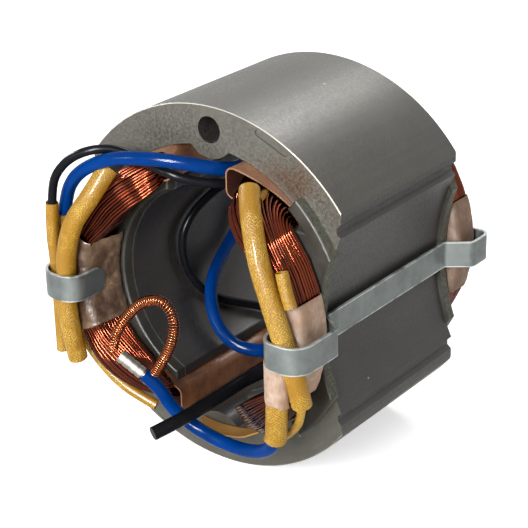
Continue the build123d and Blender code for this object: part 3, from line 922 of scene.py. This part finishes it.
copperLook = {"base": colour(96, 42, 25), "tints": (colour(42, 15, 7), colour(116, 50, 26))}


def copperMaterial(look):
    material, tree, shader = newMaterial(
        "copper_wire_look", look["base"], 0.11, metallic=0.97, coat=0.12, coatRoughness=0.04, specular=0.2)
    tone = addNode(tree, "ShaderNodeAttribute", attribute_name="turnTone").outputs["Fac"]
    share = times(tree, calc(tree, "ADD", tone, grain(tree, placeOf(tree), 150.0, 1.4)), 0.5)
    feed(tree, blendColour(tree, share, *look["tints"]), shader, "Base Color")
    return material


def windCoil(name, side, look, tree, material):
    rng = random.Random(look["seed"] + side)
    source, data = newCurve(name + "_paths")
    for deep in range(look["deep"]):
        for across in range(look["across"]):
            stagger = look["stagger"] if deep % 2 else -look["stagger"]
            share = min(max((across + stagger) / (look["across"] - 1), 0), 1)
            spline = addSpline(data, "POLY", turnPoints(share, deep / (look["deep"] - 1), side, rng, look))
            spline.use_cyclic_u = True
    piece = growPiece(name + "_turns", source, tree, {
        "Wire Diameter": look["wire"], "Wander": look["wander"], "Seed": look["seed"], "Material": material})
    settle(piece, [name])


turnsTree = windingTree()
copper = copperMaterial(copperLook)
for name, side in (("coil_right", 1), ("coil_left", -1)):
    windCoil(name, side, coil, turnsTree, copper)
print("coils are wound")


# Routes, on the centre lines

def route(*points):
    # from millimetres to metres
    return [tuple(round(value / 1000, 8) for value in point) for point in points]


mainRightRoute = route(
    (15, -6.5, 27.8), (17, -9.1, 25.9), (18.9, -11.1, 23.6), (21.9, -13.7, 18.9), (23.6, -14.3, 14.8),
    (25.5, -14.55, 10.2), (28.6, -14.55, 1.8), (30.5, -14.5, -3.3), (31.4, -14, -7), (31.4, -12.8, -11.3),
)
brushSleeveRoute = route((26.9, -14.75, -9.2), (26.4, -14.35, -14.6), (25.1, -13.1, -21))
tailRightRoute = route(
    (31.4, -12.8, -11), (30, -11.2, -15.9), (26.6, -9.3, -20.4), (21.9, -7.3, -24.7), (16.6, -5, -27.6),
)
shortRightRoute = route((27.6, -13.4, 16), (28.6, -13.7, 12.6), (30, -13.9, 9.4))
innerRightRoute = route((17.8, -7.6, 26.5), (16.4, -4.6, 26), (14.8, -1, 25.4))
mainLeftRoute = route(
    (-19.5, -9, 25.6), (-20.1, -11.2, 23.2), (-21.2, -13, 20.3), (-23.2, -14, 17.2), (-25.5, -14.5, 13.8),
    (-27.8, -14.6, 7.1), (-28.4, -14.55, 1.5), (-28.8, -14.55, -4.5), (-28.4, -14.5, -11.4),
    (-28.3, -13, -18.5),
)
blackSleeveRoute = route(
    (-31.7, -13.7, 16.9), (-32.5, -13.6, 10.4), (-32.25, -13.3, 2.9), (-32.35, -13.2, -6),
    (-32.7, -13, -17.8),
)
blueSleeveRoute = route((-31.9, -10.1, 13.5), (-32.9, -10.2, 9.3), (-33.5, -10.3, 4.7))
returnLeftRoute = route(
    (-31, -9.6, -11.6), (-29.4, -9.2, -15.8), (-27, -8.6, -19.6), (-23.9, -8, -22.9), (-20.4, -7.2, -25.7),
    (-16.6, -6, -27.8), (-13.6, -5, -29.2),
)
blueLongRoute = route(
    (-32.45, -10.155, 11.19), (-31.2, -10.03, 16.44), (-28.6, -11.2, 20.8), (-25.2, -11.6, 24.4),
    (-20.7, -11.2, 27.2), (-16, -10.3, 28.9), (-10.6, -9, 29.6), (-4.9, -6.5, 29.4), (0.3, -3.3, 28.4),
    (3.6, 0.9, 27.1), (4.6, 6, 26.2), (4.6, 12, 25.6), (2.5, 18.8, 25), (-0.8, 25.4, 24.2),
    (-4.8, 31, 21.8), (-10.3, 35, 17.3), (-15.6, 36.9, 11.8), (-19, 37, 5), (-20.3, 34.6, -0.8),
    (-20, 30.3, -4.4), (-18.7, 25.3, -6), (-17, 20.3, -7.7), (-15.2, 16.6, -10.2), (-13.1, 14.3, -13.3),
    (-9.9, 12.7, -17), (-5.3, 12.5, -19.8), (-0.4, 14.9, -20.8), (2.9, 19.3, -20.6), (3.9, 24.8, -20.3),
)
blackLongRoute = route(
    (-31.94, -13.67, 14.91), (-31.33, -13.75, 19.87), (-29, -14.6, 24.2), (-25.6, -13.7, 28),
    (-21.6, -11.6, 30), (-18, -8.6, 30), (-14.6, -6.5, 28.5), (-10.6, -6.1, 27.2), (-5.8, -6.3, 26.4),
    (-1.4, -3.6, 24.8), (2.4, 0.2, 23.9), (4.2, 4.8, 23.2), (4.8, 10, 22.8), (4.2, 15.6, 22.4),
    (1.6, 21, 21.6), (-3, 25.8, 20.6), (-9, 28.6, 18.7), (-14.2, 29, 15), (-17.6, 26.4, 11.4),
    (-19, 21.6, 9.6), (-20.1, 17, 6.6), (-21, 14.6, 2.4), (-21, 14.4, -2.6), (-19.8, 15.2, -7.4),
    (-17.9, 17.2, -11.4), (-15.8, 20.4, -14.2), (-13.7, 24.6, -16.2), (-11, 29, -18.1), (-6.6, 32.4, -20),
    (-0.6, 33.4, -21), (5, 31.9, -20.6), (8.8, 27.2, -19.2), (10.6, 21.6, -18.3), (10.6, 16, -18.2),
    (9.1, 11.15, -19.05), (7.4, 7.2, -19.6),
)
blackEndRoute = route(
    (7.4, 7.2, -19.6), (5.5, 2.8, -20.2), (5.4, -4.3, -20.5), (4.9, -11.6, -20.9), (3.5, -18.4, -21.8),
    (1.4, -23, -22.9),
)
blueBrushRoute = route(
    (25.8, -13.8, -16.87), (24.57, -12.66, -22.55), (20.3, -11.1, -26.5), (14.6, -10, -28.6),
    (7.9, -9.8, -28.8), (1.9, -10.8, -26.8), (-2.7, -12.4, -23), (-4.64, -13.73, -17.99),
    (-7.5, -15, -15.5),
)
springRoute = route(
    (-14, -16.9, -10.8), (-13.6, -16.8, -8.2), (-12.2, -16.2, -5.2), (-9.9, -15.5, -1.8),
    (-6.9, -15.5, 1.1), (-3.3, -15.5, 3), (-0.2, -15.5, 3.1), (1.7, -15.5, 0.9), (2, -15.5, -2.2),
    (0.9, -15.5, -5.8), (-1.2, -15.4, -9.8), (-4.2, -15.2, -14.2),
)


# Woven sleeves

sleeves = {
    "sleeve_main_right": {"route": mainRightRoute, "radius": 0.0021, "wall": 0.0005, "yarns": 18},
    "sleeve_brush_lead": {"route": brushSleeveRoute, "radius": 0.0022, "wall": 0.0005, "yarns": 18},
    "sleeve_tail_right": {"route": tailRightRoute, "radius": 0.00085, "wall": 0.0003, "yarns": 8},
    "sleeve_short_right": {"route": shortRightRoute, "radius": 0.0013, "wall": 0.0003, "yarns": 12},
    "sleeve_inner_right": {"route": innerRightRoute, "radius": 0.00085, "wall": 0.0003, "yarns": 8},
    "sleeve_main_left": {"route": mainLeftRoute, "radius": 0.0021, "wall": 0.0005, "yarns": 18},
    "sleeve_black_lead": {"route": blackSleeveRoute, "radius": 0.00135, "wall": 0.00033, "yarns": 12},
    "sleeve_blue_lead": {"route": blueSleeveRoute, "radius": 0.00175, "wall": 0.00025, "yarns": 15},
    "sleeve_return_left": {"route": returnLeftRoute, "radius": 0.00115, "wall": 0.0003, "yarns": 10},
}
weaveLook = {
    "base": colour(210, 168, 68),
    "tints": (colour(186, 142, 40), colour(200, 160, 54)),
    "gap": colour(158, 114, 26),
    "yarnCrossingHighlight": colour(228, 194, 92),
    "pitch": 0.00066,
}


def sleeveMaterial(yarns, look):
    material, tree, shader = newMaterial(
        "sleeve_weave_" + str(yarns), look["base"], 0.4, coat=0.14, coatRoughness=0.12, specular=0.16)
    position = placeOf(tree)
    circle = addNode(tree, "ShaderNodeAttribute", attribute_name="circle").outputs["Vector"]
    warp = grain(tree, position, 420.0, 5.0)
    weave = useGroup(tree, braidGroup, {
        "Circle": circle, "Yarns": float(yarns), "Pitch": look["pitch"], "Warp": warp})
    # varnish fills the weave in places
    filled = fade(tree, grain(tree, position, 90.0, 3.4), 0.2, 0.8, 0.15, 1.0)
    ragged = fade(tree, grain(tree, position, 3000.0, 3.0), 0.1, 0.9, 0.1, 1.5)
    weave = times(tree, weave, ragged, filled)
    cloud = grain(tree, position, 190.0, 1.8)
    tint = blendColour(tree, fade(tree, cloud, 0.1, 0.9), *look["tints"])
    # the weave's pattern, with painted shade in the gaps between the yarns and a painted highlight on their
    # crossings
    tint = blendColour(tree, fade(tree, weave, 0.0, 0.5), look["gap"], tint)
    tint = blendColour(tree, fade(tree, weave, 0.5, 0.9, 0.0, 0.5), tint, look["yarnCrossingHighlight"])
    feed(tree, tint, shader, "Base Color")
    bumpFrom(tree, shader, calc(tree, "ADD", weave, times(tree, cloud, 0.6)), 0.8, 0.00014)
    return material


def sleeveTree():
    tree, given, result = newTree("wovenSleeve", {
        "Outer Radius": 0.002, "Wall": 0.0004, "Ring Spacing": 0.00025, "Softness": 0.0001, "Sides": 28,
        "Material": "Material",
    })
    inputs = {"Curve": given["Geometry"], "Length": given["Ring Spacing"]}
    rings = made(tree, "GeometryNodeResampleCurve", inputs, mode="LENGTH")
    walked = addNode(tree, "GeometryNodeSplineParameter").outputs["Length"]
    path = storeField(tree, rings, "walk", walked)
    # the outer wall closes on the inner one at both ends
    inner = calc(tree, "SUBTRACT", given["Outer Radius"], given["Wall"])
    ends = made(tree, "GeometryNodeCurveEndpointSelection", {"Start Size": 1, "End Size": 1})
    inputs = {"Switch": ends, "False": 1.0, "True": calc(tree, "DIVIDE", inner, given["Outer Radius"])}
    mouth = made(tree, "GeometryNodeSwitch", inputs, input_type="FLOAT")
    walls = []
    for width, radius in ((mouth, given["Outer Radius"]), (1.0, inner)):
        curve = made(tree, "GeometryNodeSetCurveRadius", {"Curve": path, "Radius": width})
        around = vectorCalc(tree, "NORMALIZE", made(tree, "GeometryNodeInputPosition"))
        profile = storeField(tree, ring(tree, given["Sides"], radius), "circle", around, "FLOAT_VECTOR")
        walls.append(sweep(tree, curve, profile))
    inside = made(tree, "GeometryNodeFlipFaces", {"Mesh": walls[1]})
    both = tree.nodes.new("GeometryNodeJoinGeometry")
    tree.links.new(walls[0], both.inputs[0])
    tree.links.new(inside, both.inputs[0])
    closed = made(tree, "GeometryNodeMergeByDistance", {"Geometry": both.outputs[0], "Distance": 0.00001})
    # where each point is round the tube and along it, for the weave
    around = split(tree, readField(tree, "circle", "FLOAT_VECTOR"))
    spot = made(tree, "ShaderNodeCombineXYZ", {0: around[0], 1: around[1], 2: readField(tree, "walk")})
    mapped = storeField(tree, closed, "circle", spot, "FLOAT_VECTOR")
    place = made(tree, "GeometryNodeInputPosition")
    soft = moved(tree, mapped, unevenly(tree, place, 260.0, given["Softness"]))
    closeTree(tree, soft, given, result)
    return tree


wovenTree = sleeveTree()
yarnCounts = sorted({look["yarns"] for look in sleeves.values()})
weaves = {yarns: sleeveMaterial(yarns, weaveLook) for yarns in yarnCounts}
for name, look in sleeves.items():
    sleeve = growPiece(name + "_woven", routeCurve(name + "_path", look["route"]), wovenTree, {
        "Outer Radius": look["radius"], "Wall": look["wall"], "Material": weaves[look["yarns"]]})
    settle(sleeve, [name])
print("sleeves are woven")


# Tinned tip, strands and ferrule, and the splices in the sleeves

def tinMaterial():
    material, tree, shader = newMaterial("tinned_metal_look", colour(150, 148, 140), 0.38, metallic=0.85)
    cloud = grain(tree, placeOf(tree), 600.0, 2.0)
    feed(tree, blendColour(tree, cloud, colour(112, 109, 101), colour(160, 157, 148)), shader, "Base Color")
    bumpFrom(tree, shader, cloud, 0.25, 0.0001)
    return material


dressNodes(tinMaterial(), "crimp_ferrule", "brush_lead_strands", "lead_blue_tip", "splice_")


# Contact spring: a helix of fine copper wire along its route

spring = {"coilRadius": 0.00102, "wire": 0.00027, "pitch": 0.00062, "colour": colour(150, 82, 46)}


def springTree():
    tree, given, result = newTree("springAlongPath", {
        "Coil Radius": 0.001, "Wire Diameter": 0.0004, "Pitch": 0.0005, "Steps per Turn": 18,
        "Material": "Material",
    })
    length = made(tree, "GeometryNodeCurveLength", {"Curve": given["Geometry"]})
    steps = times(tree, calc(tree, "DIVIDE", length, given["Pitch"]), given["Steps per Turn"])
    inputs = {"Curve": given["Geometry"], "Count": steps}
    path = made(tree, "GeometryNodeResampleCurve", inputs, mode="COUNT")
    index = made(tree, "GeometryNodeInputIndex")
    angle = times(tree, calc(tree, "DIVIDE", index, given["Steps per Turn"]), fullTurn)
    normal = made(tree, "GeometryNodeInputNormal")
    side = vectorCalc(tree, "CROSS_PRODUCT", made(tree, "GeometryNodeInputTangent"), normal)
    across = scaled(tree, normal, times(tree, calc(tree, "COSINE", angle), given["Coil Radius"]))
    upward = scaled(tree, side, times(tree, calc(tree, "SINE", angle), given["Coil Radius"]))
    helix = moved(tree, path, vectorCalc(tree, "ADD", across, upward))
    wire = sweep(tree, helix, ring(tree, 6, times(tree, given["Wire Diameter"], 0.5)), caps=True)
    closeTree(tree, wire, given, result)
    return tree


springCopper = newMaterial(
    "spring_wire_look", spring["colour"], 0.12, metallic=0.95, coat=0.1, coatRoughness=0.05)[0]
springWire = growPiece("contact_spring_wire", routeCurve("contact_spring_path", springRoute), springTree(), {
    "Coil Radius": spring["coilRadius"], "Wire Diameter": spring["wire"], "Pitch": spring["pitch"],
    "Material": springCopper})
settle(springWire, ["contact_spring"])


# Leads

def leadMaterial(name, base, light, roughness):
    material, tree, shader = newMaterial(name, base, roughness, specular=0.05)
    position = placeOf(tree)
    cloud = grain(tree, position, 140.0, 1.2)
    feed(tree, blendColour(tree, fade(tree, cloud, 0.2, 0.8), base, light), shader, "Base Color")
    bumpFrom(tree, shader, grain(tree, position, 700.0, 1.0), 0.25, 0.00006)
    return material


plastics = {
    "lead_blue": leadMaterial("lead_blue_look", colour(0, 47, 110), colour(0, 59, 136), 0.13),
    "lead_black": leadMaterial("lead_black_look", colour(14, 15, 18), colour(26, 27, 31), 0.24),
}
leads = {
    "lead_blue_long": {
        "route": blueLongRoute, "radius": 0.00145, "length": 0.1642, "slot": "lead_blue",
        "farEnd": "bare", "with": ["lead_blue_tip"],
    },
    "lead_blue_brush": {
        "route": blueBrushRoute, "radius": 0.00145, "length": 0.0463, "slot": "lead_blue",
        "farEnd": "fitting", "with": ["crimp_ferrule", "brush_lead_strands", "contact_spring_wire"],
    },
    "lead_black_long": {
        "route": blackLongRoute, "radius": 0.00095, "length": 0.1855, "slot": "lead_black",
        "farEnd": "fitting", "with": ["black_end_tube_sleeve"],
    },
}
endTubeRadius = 0.00145


def placeLead(name, node, route, radius, slot):
    piece = routeCurve(name, route, radius)
    piece.data.materials.append(plastics[slot])
    return settle(piece, [node])


placeLead("black_end_tube_sleeve", "black_end_tube", blackEndRoute, endTubeRadius, "lead_black")
for name, look in leads.items():
    lead = placeLead(name + "_cord", name, look["route"], look["radius"], look["slot"])
print("leads, ferrule and spring are in place")
